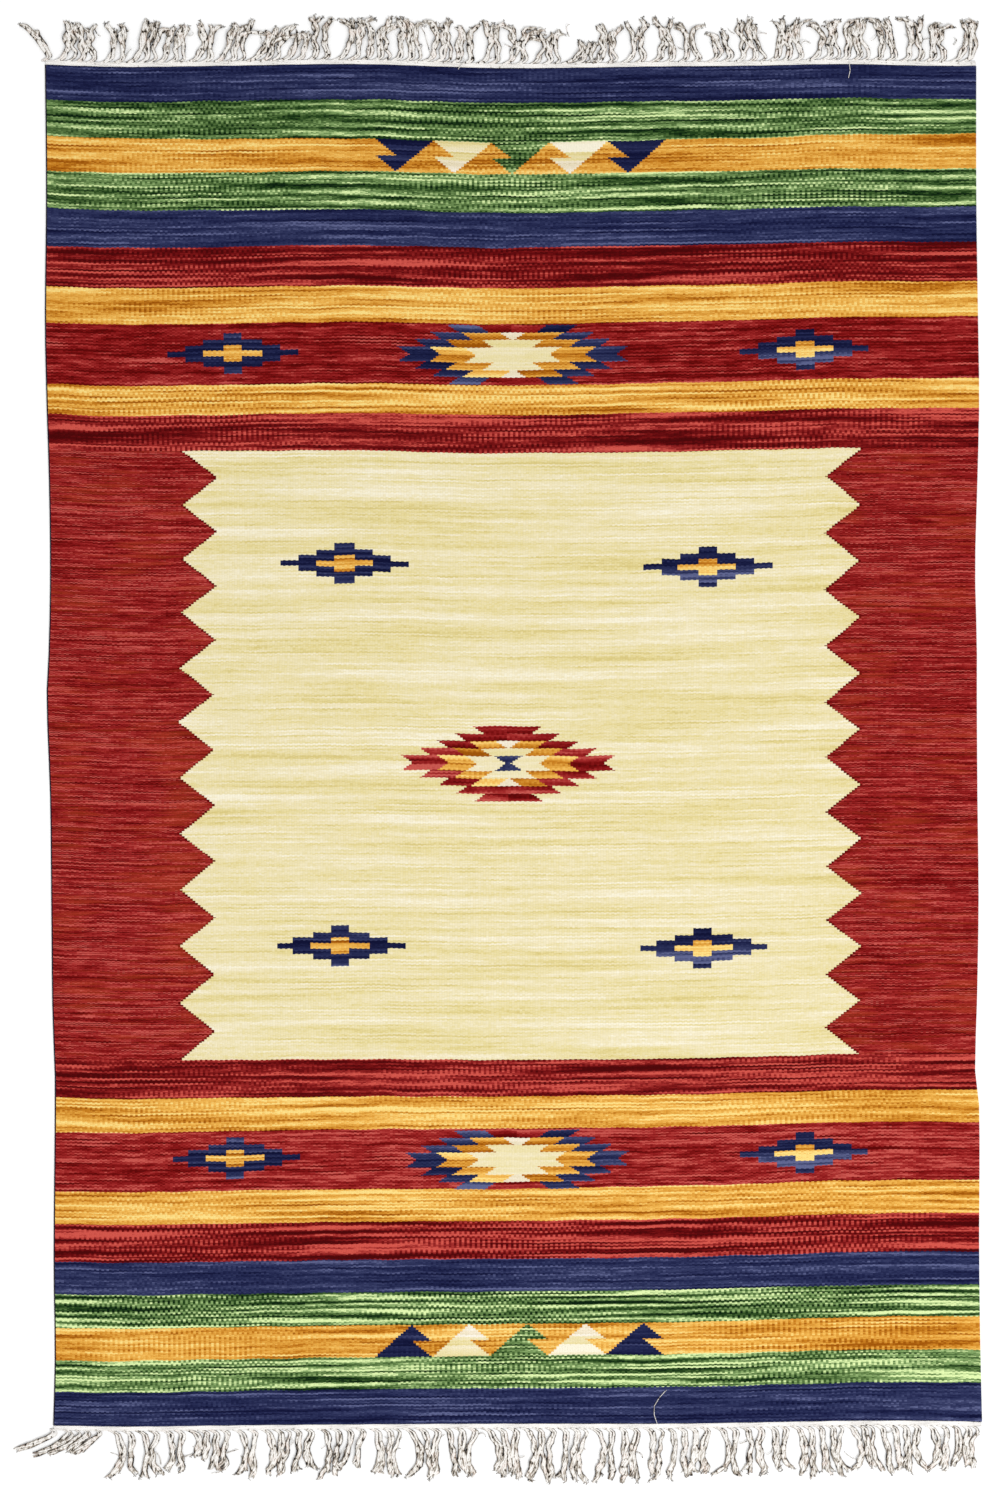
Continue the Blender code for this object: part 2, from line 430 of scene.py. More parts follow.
def ramp(tree, factor, stops, level=False):
    """A ramp through stops of a place and four numbers. A level one doesn't blend them."""
    node = new_node(tree, "ShaderNodeValToRGB", {"Fac": factor})
    if level:
        node.color_ramp.interpolation = "CONSTANT"
    made = node.color_ramp.elements
    while len(made) < len(stops):
        made.new(0.5)
    for number, (place, parts) in enumerate(stops):
        made[number].position = place
        made[number].color = parts
    return node


def linear(hex_colour, share=1.0):
    """The shader's four numbers for a screen colour such as #a0b0c0, or for a share of it."""
    parts = [int(hex_colour[i:i + 2], 16) / 255 for i in (1, 3, 5)]
    parts = [c / 12.92 if c <= 0.04045 else ((c + 0.055) / 1.055) ** 2.4 for c in parts]
    return (*(part * share for part in parts), 1.0)


print("middle grey is this much light:", round(linear("#808080")[0], 3))

# %% [markdown]
# ## The weft yarns
#
# Each colour is a yarn that was dyed in the skein, so its shade runs from dark to light
# and back along the yarn. A ramp of five shades stands for each yarn. The greens and the
# striped reds vary most, the navy and the cream least.

# %% Shades of each yarn, from its darkest to its lightest
NAVY, GREEN, GOLD, RED, BORDER_RED, CREAM, WHITE = range(7)
SHADES = {
    NAVY: ("#0a0e34", "#191e46", "#272d55", "#393f67", "#5f658f"),
    GREEN: ("#021c08", "#244519", "#57763f", "#8aab6a", "#e4f9b2"),
    GOLD: ("#a05502", "#cb801e", "#e5a541", "#f6be5b", "#ffe189"),
    RED: ("#4c0002", "#640307", "#7c1112", "#a32b29", "#d4564b"),
    BORDER_RED: ("#5c0000", "#7a0809", "#911a1b", "#aa2f2d", "#cb5850"),
    CREAM: ("#ddcb82", "#eadb9c", "#f0e3b2", "#f6ebc8", "#fdf6de"),
    WHITE: ("#d8c9a0", "#e9dcba", "#f4e7cb", "#faf1de", "#fffaf0"),
}


def yarn_colour(tree, yarn, shade):
    colours = SHADES[yarn]
    last = len(colours) - 1
    stops = [(number / last, linear(colour)) for number, colour in enumerate(colours)]
    return ramp(tree, shade, stops).outputs["Color"]


print("yarns:", len(SHADES))

# %% [markdown]
# ## Warps, picks and beads
#
# In a weft-faced plain weave each pick goes over one warp and under the next, and the pick
# after it does the opposite. What shows is a bead of yarn where a pick crosses over a warp,
# as high as two picks. Rows of beads lie like bricks. The chart's place across gives the
# number of the warp, and the place down gives the number of the pick that shows over it.
# The warps stand a little wider to the right, so their pitch grows across the cloth.
# Every colour decision below is made once for a bead, at its middle, so edges of motifs
# step as woven ones do.

# %% Which bead a point lies on
WARP_PITCH_LEFT, WARP_PITCH_RIGHT = 4.34, 4.67
PICK_PITCH = 0.72
WANDER, WANDER_LENGTH, WANDER_DEPTH = 0.9, 55, 90    # rows rise and fall by this much


def weave_places(tree):
    chart = new_node(tree, "ShaderNodeUVMap", {}, uv_map="Chart")
    across, down = two_parts(tree, chart.outputs["UV"])
    return across / MM, down / MM


def beads(across, down):
    """Number of the warp and of the pick, and the place in the bead from -0.5 to 0.5."""
    closing = (1 / WARP_PITCH_LEFT - 1 / WARP_PITCH_RIGHT) / (2 * CLOTH_WIDTH)
    warps = across * (1 / WARP_PITCH_LEFT - across * closing)
    warp = warps.floor()
    odd_warp = (warp / 2).fraction() * 2
    picks = down / PICK_PITCH
    pick = ((picks - odd_warp) / 2 + 0.5).floor() * 2 + odd_warp
    return warp, pick, odd_warp, warps - warp - 0.5, (picks - pick) / 2


warp_count = CLOTH_WIDTH * (1 / WARP_PITCH_LEFT + 1 / WARP_PITCH_RIGHT) / 2
print("warps:", round(warp_count), "picks:", round(CLOTH_LENGTH / PICK_PITCH))

# %% [markdown]
# ## The order of the bands
#
# A weaver works from a list: so many centimetres of this yarn, then so many of that. The
# list is turned into a sum. Starting with the first row's number, each limit that lies
# above the bead adds the step from one row's number to the next. Each skein was dyed a
# little differently and beaten more or less tightly, so the list also says how far the
# dye moves on from one to and fro of the yarn to the next, and how strong its change is.

# %% Bands from the far end to the near end
# Columns: yarn, length woven, rounds of dye in a to and fro, strength of the dye's change,
# lightness of the skein.
BANDS = (
    (NAVY, 60, 0.095, 0.8, -0.1), (GREEN, 65, 0.168, 0.9, -0.05), (GOLD, 57, 0.095, 0.9, -0.1),
    (GREEN, 65, 0.159, 1.0, 0.06), (NAVY, 61, 0.21, 0.8, 0.0), (RED, 69, 0.168, 1.1, 0.0),
    (GOLD, 61, 0.092, 1.0, 0.1), (BORDER_RED, 106, 0.57, 1.0, -0.2), (GOLD, 51, 0.184, 1.6, 0.15),
    (RED, 68, 0.08, 1.1, 0.08), (CREAM, 1043, 0.13, 1.0, 0.0), (RED, 64, 0.168, 0.9, 0.18),
    (GOLD, 56, 0.136, 1.1, 0.2), (BORDER_RED, 101, 0.57, 1.0, 0.1), (GOLD, 56, 0.21, 1.0, 0.12),
    (RED, 66, 0.14, 1.5, 0.05), (NAVY, 56, 0.22, 1.0, 0.05), (GREEN, 55, 0.23, 1.5, 0.05),
    (GOLD, 56, 0.075, 1.3, 0.0), (GREEN, 57, 0.15, 1.1, 0.18), (NAVY, 63, 0.15, 0.9, -0.05),
)
BAND_YARNS, BAND_LENGTHS, BAND_DRIFTS, BAND_DYES, BAND_LIGHTS = zip(*BANDS)
BAND_STARTS = [sum(BAND_LENGTHS[:number]) for number in range(len(BANDS) + 1)]
FIELD = 10                                     # the cream field's place in the list
FIELD_START, FIELD_END = BAND_STARTS[FIELD], BAND_STARTS[FIELD + 1]


def along_rows(down, limits, values):
    """The value for the row that a place down belongs to: the first, plus a step a limit."""
    chosen = values[0]
    for limit, before, value in zip(limits, values, values[1:]):
        chosen = (down > limit) * (value - before) + chosen
    return chosen


def by_band(down, column):
    return along_rows(down, BAND_STARTS[1:-1], column)


def between(value, low, high):
    """1 where the value lies between two others, 0 elsewhere."""
    return (value > low) * (value < high)


print("bands:", len(BANDS), "woven length:", BAND_STARTS[-1])

# %% [markdown]
# ## Toothed sides of the field
#
# The red sides meet the cream field in a row of eleven teeth. A triangle wave gives them:
# half way between two corners the red reaches furthest in.

# %% The field's zigzag edges
TEETH = 11
TOOTH_PITCH = (FIELD_END - FIELD_START) / TEETH
# Columns: corner and tip across, how far the near end is shifted, how far the teeth bow up.
LEFT_TEETH = (231.0, 291.0, -11.0, 9.0)
RIGHT_TEETH = (1399.0, 1339.0, -2.0, -10.0)


def zigzag(down, corner, tip, shift, bow):
    """Where a toothed edge lies: at the corner at the start of a tooth, at the tip half way."""
    share = (down - FIELD_START) / (FIELD_END - FIELD_START)
    beaten = (down - FIELD_START) + (share / 2).wave() * bow
    turn = (beaten / TOOTH_PITCH).fraction()
    reach = 1 - abs(turn * 2 - 1)
    return reach * (tip - corner) + share * shift + corner


print("height of a tooth:", round(TOOTH_PITCH, 1), "mm")

# %% [markdown]
# ## Medallions with stepped rows
#
# All slanted edges in this rug are made in the same way: a row of weaving leans outwards,
# and the next row starts again further in. A sawtooth does that. Measured from the middle
# of the motif, each row's edge is a start, less a step for each row, plus a lean within the
# row. Three such edges, one inside the other, make the navy, gold and cream of a medallion.

# %% Medallions
ROW_LEAN = 19.0
MOTIF_ROWS, ROW_RUN = 1.0, 1.0                 # how much rows differ, and run dark to light
MOTIF_CALM = 0.6                               # what is left of the yarn's own streaks
GOLD_STEP = 28.0
# Columns: middle across and down, height of a row, rows, outer half width and its step,
# gold half width, cream half width and its step.
MEDALLIONS = (
    (801.5, 491.4, 12.8, 4, 178, 28.5, 124, 63, 30), (792, 1197.8, 13.0, 5, 165, 31, 103, 54, 26),
    (800, 1879.1, 12.3, 4, 174, 28, 120, 66, 30),
)
LIGHT_ROWS = 3                                 # rows with gold and cream in them
HOURGLASS_HALF = 5.0
CREAM_CALM = 0.75                              # the cream rows differ less than the others


def motif_shade(number, along_row):
    """A shade of its own for each row of a motif. It lightens along the row."""
    return noise(number + 0.37, number * 0.61 + 5.2) * MOTIF_ROWS + (along_row - 0.5) * ROW_RUN


def medallion(across, down, yarn):
    """The yarn with the medallions woven in, a mask of them, and a motif shade."""
    limits = (FIELD_START, FIELD_END)
    (middle_across, middle_down, height, rows, outer, step, gold, cream, cream_step) = (
        along_rows(down, limits, column) for column in zip(*MEDALLIONS)
    )
    aside = abs(across - middle_across)
    off = (down - middle_down) / height
    row = abs(off).floor()
    lean = (abs(off) - row) * ROW_LEAN
    inside = (aside < outer - row * step + lean) * (row < rows)
    in_gold = (aside < gold - row * GOLD_STEP + lean) * inside
    in_cream = (aside < cream - row * cream_step + lean) * (row < LIGHT_ROWS)
    central = between(down, FIELD_START, FIELD_END)
    yarn = choose(inside, choose(central, BORDER_RED, NAVY), yarn)
    yarn = choose(in_gold, choose(row < LIGHT_ROWS, GOLD, BORDER_RED), yarn)
    yarn = choose(in_cream, choose(row > 1, WHITE, CREAM), yarn)
    glass = (aside < lean + HOURGLASS_HALF) * (row < 1) * central
    yarn = choose(glass, NAVY, yarn)
    side = (across > middle_across) * (yarn < CREAM - 0.5)
    shade = motif_shade(off.floor() * 2.3 + side * 7.7 + yarn * 1.3, lean / ROW_LEAN)
    return yarn, inside, shade * (1 - in_cream * CREAM_CALM)


print("heights of the medallions:", [round(2 * m[2] * m[3], 1) for m in MEDALLIONS], "mm")

# %% [markdown]
# ## Small diamonds
#
# Four diamonds stand in the field and two in each red band. Each is a stack of blocks, one
# wide and low, the next narrower and higher, with a gold cross in the middle. They don't
# stand in line, so a table gives their places.

# %% Diamonds
# Columns: across and down of the left one, then of the right one.
DIAMONDS = (
    (321, 489.4, 1302, 492.7), (509, 856.7, 1137, 861.6), (499, 1512, 1126, 1517),
    (314, 1872, 1297, 1876.7),
)
DIAMOND_LIMITS = (FIELD_START, (FIELD_START + FIELD_END) / 2, FIELD_END)
# Columns: half width, half height.
DIAMOND_BLOCKS = ((16, 35), (49.5, 23), (81, 14), (111, 4.8))
CROSS_BLOCKS = ((16, 14), (50, 4.6))
CROSS_LIGHT, BAR_LIGHT = 0.35, 0.55            # the bar across is woven of paler gold
LAYER_HEIGHT = 9.0                             # rows of one shade


def blocks(aside, off, sizes):
    """1 inside any of the blocks that share a middle."""
    inside = None
    for half_width, half_height in sizes:
        block = (aside < half_width) * (off < half_height)
        inside = block if inside is None else inside.math("MAXIMUM", inside, block)
    return inside


def diamond(across, down, yarn):
    right = across > CLOTH_WIDTH / 2
    left_across, left_down, right_across, right_down = (
        along_rows(down, DIAMOND_LIMITS, column) for column in zip(*DIAMONDS)
    )
    off = down - choose(right, right_down, left_down)
    aside = abs(across - choose(right, right_across, left_across))
    inside = blocks(aside, abs(off), DIAMOND_BLOCKS)
    yarn = choose(inside, NAVY, yarn)
    cross = blocks(aside, abs(off), CROSS_BLOCKS)
    bar = cross * (abs(off) < CROSS_BLOCKS[1][1])
    yarn = choose(cross, GOLD, yarn)
    layers = off / LAYER_HEIGHT
    layer = layers.floor()
    shade = motif_shade(layer * 1.7 + right * 5.1, layers - layer)
    return yarn, inside, shade + cross * CROSS_LIGHT + bar * BAR_LIGHT


print("diamonds:", 2 * len(DIAMONDS))

# %% [markdown]
# ## Barbed triangles
#
# The outermost gold band at each end carries five triangles. One side of them is straight,
# and the other is the same sawtooth again with two teeth, which leaves a barb half way. At
# the far end they point to the near end with their barbs on the left, and at the near end
# they are turned about.

# %% Triangles
TRIANGLE_BANDS = (2, 18)                       # their places in the list of bands
FAR_FIRST, NEAR_FIRST = 616.5, 602.8           # middles of the first ones across
TRIANGLE_PITCH = 100.0
TRIANGLE_COUNT = 5
TRIANGLE_HALF, TRIANGLE_APEX = 50.0, -15.0
WHITE_FROM, TRIANGLE_ROWS = 0.6, 3             # the pale ones turn white; rows of one shade


def triangles(across, down, yarn):
    far = down < CLOTH_LENGTH / 2
    start, height = (
        choose(far, *(column[n] for n in TRIANGLE_BANDS)) for column in (BAND_STARTS, BAND_LENGTHS)
    )
    share = (down - start) / height
    share = choose(far, share, 1 - share)
    place = (across - choose(far, FAR_FIRST, NEAR_FIRST)) / TRIANGLE_PITCH + 0.5
    number = place.floor()
    aside = (place - number - 0.5) * TRIANGLE_PITCH * (far * 2 - 1)
    barbed = (share * 2).fraction() * (TRIANGLE_APEX + TRIANGLE_HALF) - TRIANGLE_HALF
    straight = share * (TRIANGLE_APEX - TRIANGLE_HALF) + TRIANGLE_HALF
    inside = (aside > barbed) * (aside < straight) * between(share, 0.0, 1.0)
    inside = inside * between(number, -0.5, TRIANGLE_COUNT - 0.5)
    odd = (number / 2).fraction() * 2
    middle_one = between(number, 1.5, 2.5)
    pale = choose(share > WHITE_FROM, WHITE, CREAM)
    colour = choose(middle_one, GREEN, choose(odd, pale, NAVY))
    part = share * TRIANGLE_ROWS
    shade = motif_shade(number * 2.9 + part.floor() * 1.7, part.fraction())
    return choose(inside, colour, yarn), inside * (1 - middle_one), shade


print("triangles:", TRIANGLE_COUNT * len(TRIANGLE_BANDS))

# %% [markdown]
# ## Streaks and dashes
#
# One yarn runs to and fro across the cloth. On its way out it shows over the even warps and
# on its way back over the odd ones. The two passes meet at a selvedge, so there they have
# the same shade and the cloth shows level streaks. Further in their shades part, and the
# cloth breaks into columns of light and dark dashes. Following the yarn's path through the
# dyed skein gives both: the sum of the two passes is the stripes, and their difference the
# dashes.
#
# Four kinds of unevenness are added to that. The yarn is thick and thin every few
# centimetres, each to and fro differs from the next, the skein drifts slowly, and single
# beads stand out where the spinning left a knot. Stretched noise gives the first three,
# and a random number for each bead the last. A table says how much of each a yarn has.

# %% The shade of the yarn at a bead
DYE_LENGTH = 2 * CLOTH_WIDTH / 3      # one round of the skein from dark to light and back
SIDE_DRIFT = 0.57                     # rounds in a to and fro of the red sides' own yarn
DASHES = 0.62                         # what is left of the dashes between hairy yarns
FINE_LINES, BEAD_SPECKLE = 0.12, 0.6
ASTRAY, ASTRAY_DEPTH = 0.4, 25        # how far the rounds go astray, and over what depth
THICK_LENGTH, CHANGE_LENGTH = 45, 290
DRIFT_LENGTH, DRIFT_DEPTH = 420, 24

# How much each cause of unevenness counts, for each yarn.
# Columns: dye, thick and thin places of the yarn, changes from turn to turn, slow drift.
CONTRAST = {
    NAVY: (0.34, 0.40, 0.76, 0.18), GREEN: (0.56, 0.42, 0.68, 0.18),
    GOLD: (0.42, 0.38, 0.66, 0.42), RED: (0.62, 0.50, 0.90, 0.20),
    BORDER_RED: (0.40, 0.90, 0.85, 0.20), CREAM: (0.04, 0.34, 0.55, 0.42),
    WHITE: (0.04, 0.30, 0.30, 0.30),
}


def contrast_of(tree, yarn):
    """The yarn's row of the table: a ramp without blending holds four numbers a step."""
    stops = [(number / len(CONTRAST), parts) for number, parts in CONTRAST.items()]
    steps = ramp(tree, (yarn + 0.5) / len(CONTRAST), stops, level=True)
    split = new_node(tree, "ShaderNodeSeparateColor", {"Color": steps.outputs["Color"]})
    return [Term(tree, output) for output in (*split.outputs, steps.outputs["Alpha"])]


def yarn_shade(across, down, warp, pick, odd, yarn, sides):
    """Where on its yarn's ramp a bead lies: 0 is the middle, -1 and 1 are the ends."""
    by_dye, by_thickness, by_turn, by_drift = contrast_of(across.tree, yarn)
    turns = (pick - odd) / 2
    out = choose(sides, across.math("MINIMUM", across, CLOTH_WIDTH - across), across)
    rounds = turns * choose(sides, SIDE_DRIFT, by_band(down, BAND_DRIFTS) / 2)
    rounds = rounds + noise(across / DRIFT_LENGTH, down / ASTRAY_DEPTH) * ASTRAY
    on_the_way = out / DYE_LENGTH
    stripes = rounds.wave() * (on_the_way + 0.25).wave()
    dashes = (rounds + 0.25).wave() * on_the_way.wave() * (1 - odd * 2)
    dye = (stripes + dashes * DASHES) * by_band(down, BAND_DYES)
    group = choose(sides, turns, (turns / 2).floor())
    thickness = noise(across / THICK_LENGTH + group * 3.71, group * 0.83, 1.0)
    change = noise(across / CHANGE_LENGTH + group * 5.3, group * 0.71 + 8.0)
    lines = (group / 2).fraction() * 4 - 1
    slow = noise(across / DRIFT_LENGTH, down / DRIFT_DEPTH)
    shade = dye * by_dye + thickness * by_thickness + change * by_turn + slow * by_drift
    shade = shade + lines * FINE_LINES + speckle(warp, pick) * BEAD_SPECKLE
    return choose(sides, shade, shade + by_band(down, BAND_LIGHTS))


print("rounds of the skein in a pick:", CLOTH_WIDTH / DYE_LENGTH)

# %% [markdown]
# ## The woven wool
#
# All parts of the pattern come together in one material. The yarn's number picks one of
# the ramps, and the shade sets the place on it. Each bead is painted a little darker at its
# rim: painted shade where it dips between its neighbours. The red sides turn to rust in
# patches, and have a dark line of painted shade where they meet the field. A near-black
# painted shadow runs down the left selvedge. The beads are also a bump, since they are too
# small and too many to be modelled: about half a million.

# %% Make the wool
BEAD_HEIGHT = 0.0004
# painted shade: how much darker each bead's rim is drawn
BEAD_RIM_PAINTED_SHADE = 0.18
ZIGZAG_LINE, ZIGZAG_SHADE = 3.2, 1.6    # how wide and how dark the line of painted shade is
RUST, RUST_COLOUR = 0.35, "#b4421f"    # how far the red of the sides may turn to rust
RUST_PATCH, RUST_STREAK = (150, 80), (90, 6)           # across and down
# colour of the painted shadow down the left selvedge
LEFT_EDGE_SHADOW_COLOUR = "#1b1626"
BLACK = (0.0, 0.0, 0.0, 1.0)


def mix_colour(tree, factor, first, second, blend="MIX"):
    inputs = {0: factor, 6: first, 7: second}         # where a colour mix has its inputs
    node = new_node(tree, "ShaderNodeMix", inputs, data_type="RGBA", blend_type=blend)
    return node.outputs[2]


def fabric(name, roughness, sheen):
    made, shader = material(name, {
        "Roughness": roughness, "Specular IOR Level": 0.05,
        "Sheen Weight": sheen, "Sheen Roughness": 0.6,
    })
    return made, made.node_tree, shader


def raise_bumps(tree, shader, level, height):
    bump = new_node(tree, "ShaderNodeBump", {"Distance": height, "Height": level})
    tree.links.new(bump.outputs["Normal"], shader.inputs["Normal"])


def woven_wool():
    made, tree, shader = fabric("woven_wool", 0.92, 0.01)
    plan_across, plan_down = weave_places(tree)
    sway = noise(plan_across / WANDER_LENGTH, plan_down / WANDER_DEPTH)
    warp, pick, odd, in_warp, in_pick = beads(plan_across, plan_down + sway * WANDER)
    wider = WARP_PITCH_RIGHT - WARP_PITCH_LEFT
    pitch = plan_across / CLOTH_WIDTH * wider + WARP_PITCH_LEFT
    across, down = plan_across - in_warp * pitch, pick * PICK_PITCH

    left, right = zigzag(down, *LEFT_TEETH), zigzag(down, *RIGHT_TEETH)
    field = between(down, FIELD_START, FIELD_END)
    sides = field * (1 - between(across, left, right))
    yarn = choose(sides, BORDER_RED, by_band(down, BAND_YARNS))
    yarn, in_triangle, triangle_row = triangles(across, down, yarn)
    yarn, in_medallion, medallion_row = medallion(across, down, yarn)
    yarn, in_diamond, diamond_row = diamond(across, down, yarn)

    shade = yarn_shade(across, down, warp, pick, odd, yarn, sides)
    by_row = choose(in_medallion, medallion_row, choose(in_diamond, diamond_row, triangle_row))
    shade = choose(in_medallion + in_diamond + in_triangle, shade * MOTIF_CALM + by_row, shade)
    # Painted shade: a dark line in the red along the teeth, where the sides meet the field.
    line = sides * (1 - between(across, left - ZIGZAG_LINE, right + ZIGZAG_LINE))
    shade = shade - (sides - line) * ZIGZAG_SHADE
    level = (shade * 0.5 + 0.5).clamped()

    colour = yarn_colour(tree, NAVY, level)
    for number in (GREEN, GOLD, RED, BORDER_RED, CREAM, WHITE):
        chosen = abs(yarn - number) < 0.5
        colour = mix_colour(tree, chosen, colour, yarn_colour(tree, number, level))
    patch = noise(across / RUST_PATCH[0] + 3.0, down / RUST_PATCH[1] + 6.0)
    streak = noise(across / RUST_STREAK[0] + 3.0, down / RUST_STREAK[1])
    rusty = (patch + streak - 0.2).clamped() * RUST * sides
    colour = mix_colour(tree, rusty, colour, linear(RUST_COLOUR))
    # Painted shade: each bead is drawn darker towards its rim, where it dips between its
    # neighbours.
    rim = 1 - ((in_warp * in_warp) + (in_pick * in_pick)) * 2 * BEAD_RIM_PAINTED_SHADE
    dark = mix_colour(tree, rim * AS_SEEN, BLACK, colour)
    # Painted shadow: a near-black line down the left selvedge only, not a yarn of its own.
    left_edge_shadow = plan_across < SELVEDGE_CORD
    colour = mix_colour(tree, left_edge_shadow, dark, linear(LEFT_EDGE_SHADOW_COLOUR))
    tree.links.new(colour, shader.inputs["Base Color"])

    bead = (1 - in_warp * in_warp * 4) * (1 - in_pick * in_pick * 4)
    raise_bumps(tree, shader, bead, BEAD_HEIGHT)
    print("nodes in the wool:", len(tree.nodes))
    return made


cloth.data.materials.append(woven_wool())

# %% [markdown]
# ## The fringe
#
# The warps that come out of the cloth are soft cotton cords. At the heading they are laid
# over to one side in small groups, which leaves a row of little arches. From there they
# hang on in tufts: drawn together at a waist, forked at the tip, some crossing, all
# flattened by lying on the floor. A hair system could stand for them, but it would not
# follow the real tufts. So tables give the tufts, and they are those of the solids: each
# cord lies where a strand's solid is.

# %% Sizes of the fringe
PIECE_GAP, HEADING_WIDE = 0.3, 8.0
STRAND_PITCH, WAIST_PITCH, TIP_PITCH = 11.0, 5.9, 4.8
WAIST_FIRST, WAIST_LAST = 0.38, 0.62
BOW, TIP_SCATTER, LEAN_LATE = 6.0, 0.16, 1.3
ROUND = 6.28                             # a whole turn

# Tufts of the fringe, from the left. Columns: middle of the tuft's roots along the
# heading, lean of its tip to the right, reach from the heading, half gap of its fork.
FAR_TUFTS = (
    (5, -42, 64, 0), (35, 0, 74, 0), (80, -8, 72, 8), (120, 0, 70, 6),
    (170, 22, 76, 8), (222, 14, 69, 6), (272, 8, 71, 9), (320, 26, 74, 5),
    (380, 34, 66, 8), (433, 16, 52, 3), (478, 2, 84, 4), (520, 14, 79, 4),
    (575, 4, 79, 16), (625, 0, 81, 3), (680, 0, 79, 8), (725, 5, 72, 6),
    (768, 0, 81, 6), (810, 0, 77, 12), (867, 4, 64, 11), (920, 10, 40, 4),
    (968, 6, 69, 12), (1018, 2, 76, 9), (1067, -2, 79, 9), (1116, -8, 74, 10),
    (1165, -18, 55, 4), (1213, -20, 77, 7), (1282, 0, 77, 9), (1344, -3, 79, 12),
    (1398, -5, 81, 6), (1450, -16, 81, 4), (1496, -5, 81, 6), (1538, 0, 74, 8),
    (1580, 6, 77, 6),
)
NEAR_TUFTS = (
    (6, -80, 36, 0), (36, -66, 48, 0), (78, -48, 44, 0), (120, -4, 83, 9),
    (172, -5, 86, 6), (214, -2, 76, 8), (256, -6, 52, 4), (292, -4, 76, 6),
    (334, -6, 88, 8), (390, -2, 83, 5), (438, -2, 79, 10), (482, -8, 88, 6),
    (526, -16, 71, 6), (572, -4, 86, 10), (638, 0, 89, 9), (711, 6, 88, 7),
    (771, 8, 88, 8), (848, -7, 98, 12), (902, -7, 98, 6), (951, -3, 93, 12),
    (1000, -4, 95, 8), (1040, -5, 93, 3), (1076, -7, 91, 8), (1120, -7, 86, 9),
    (1165, -6, 89, 12), (1210, 2, 86, 9), (1258, 2, 81, 9), (1293, 0, 95, 3),
    (1338, 8, 91, 9), (1396, 11, 83, 12), (1440, 14, 86, 4), (1481, 4, 83, 7),
    (1526, -3, 83, 9), (1572, -4, 74, 8),
)


MIXING = (12.9898, 78.233, 37.719, 4.581)


def vary(*numbers):
    """A fixed, patternless number from 0 to 1 for a set of numbers."""
    angle = sum(number * factor for number, factor in zip(numbers, MIXING))
    mixed = math.sin(angle) * 43758.5
    return mixed - math.floor(mixed)


def beyond_end(end, along, out):
    """Plan point a distance out from the cloth's far (1) or near (-1) end."""
    side = "far" if end > 0 else "near"
    corner = end * CLOTH_LENGTH / 2
    left, right = selvedge("left", corner), selvedge("right", corner)
    x = left + (right - left) * along / CLOTH_WIDTH
    return Vector((x, end_line(side, x) + end * out, 0.0))


print("tufts:", len(FAR_TUFTS), "far and", len(NEAR_TUFTS), "near")

# %% [markdown]
# ## How a tuft gathers
#
# The strands of a tuft leave the heading side by side, close in to a waist, and open again
# to a fork. Two sines do that: one narrows the pitch between the strands on the way to the
# waist, and the other widens it from there. So one short function gives the place of any
# strand of a tuft at any share of its length.

# %% Gather a tuft
def tuft_flow(tufts, number):
    """The tuft's strand count, and where a place from -1 to 1 across it is at a share out."""
    middle, lean, reach, fork = tufts[number]
    low = (tufts[number - 1][0] + middle) / 2 if number else 0.0
    last = number == len(tufts) - 1
    high = CLOTH_WIDTH if last else (middle + tufts[number + 1][0]) / 2
    count = max(1, round((high - low) / STRAND_PITCH))
    waist = WAIST_FIRST + (WAIST_LAST - WAIST_FIRST) * (number * 0.53 % 1.0)
    bow = BOW * math.sin(number * 2.4)
    root_pitch = (high - low) / count
    slant = math.hypot(lean, reach) / reach

    def flow(place, share):
        gather = math.sin(math.pi / 2 * min(share / waist, 1.0)) ** 2
        spread = math.sin(math.pi / 2 * max((share - waist) / (1 - waist), 0.0)) ** 2
        waist_pitch = min(WAIST_PITCH * slant, root_pitch)
        pitch = root_pitch + (waist_pitch - root_pitch) * gather
        pitch += (min(TIP_PITCH * slant, root_pitch) - waist_pitch) * spread
        along = (low + high) / 2 + lean * share ** LEAN_LATE + bow * math.sin(math.pi * share)
        along += place * pitch * count / 2 + math.copysign(fork * spread, place) * (count > 1)
        return along, reach * share

    return count, flow


for tufts in (FAR_TUFTS, NEAR_TUFTS):
    print("strands of an end:", sum(tuft_flow(tufts, n)[0] for n in range(len(tufts))))

# %% [markdown]
# ## The route of one cord
#
# A strand is five soft cords that twist round each other. The twist is tight at the root
# and opens towards the tip, so the strand widens there. No two strands lie alike: they
# sway, cross and curl, each by a number of its own that is the same each time.

# %% Lead a cord from the heading to its tip
CORDS_A_STRAND = 5
CORD_RADIUS, LOOSENED = 1.15, 0.5        # a cord at its root, and how much wider at its tip
CORD_POINTS = 15
ROOT_SWEEP, ROOT_TURN = 13.0, 9.0        # roots lie over to the left, then turn out
GROUP_HOLD = 0.62                        # how close together a pair's cords are held
TWIST_LENGTH, TWIST_WIDE, TWIST_HIGH = 52.0, 1.75, 1.1
CURL_FROM, LONG_CURL_FROM, LONG_CURLS = 0.78, 0.5, 0.07    # shares out, and of the strands
CURL = 1.3                               # how far a tip may turn, in radians
CROSSING, CROSSING_SHARE = 1.7, 0.34     # how far some strands cross over their neighbours
SWAY_LEAST, SWAY_MORE = 0.6, 1.7         # a strand's waves, and how long they are
WAVE_LEAST, WAVE_MORE = 22, 20
FAR_TANGLE = 1.9                         # how much wilder the far end lies
ROOT_LIGHT = 0.35                        # how much more painted light the roots get than the tips
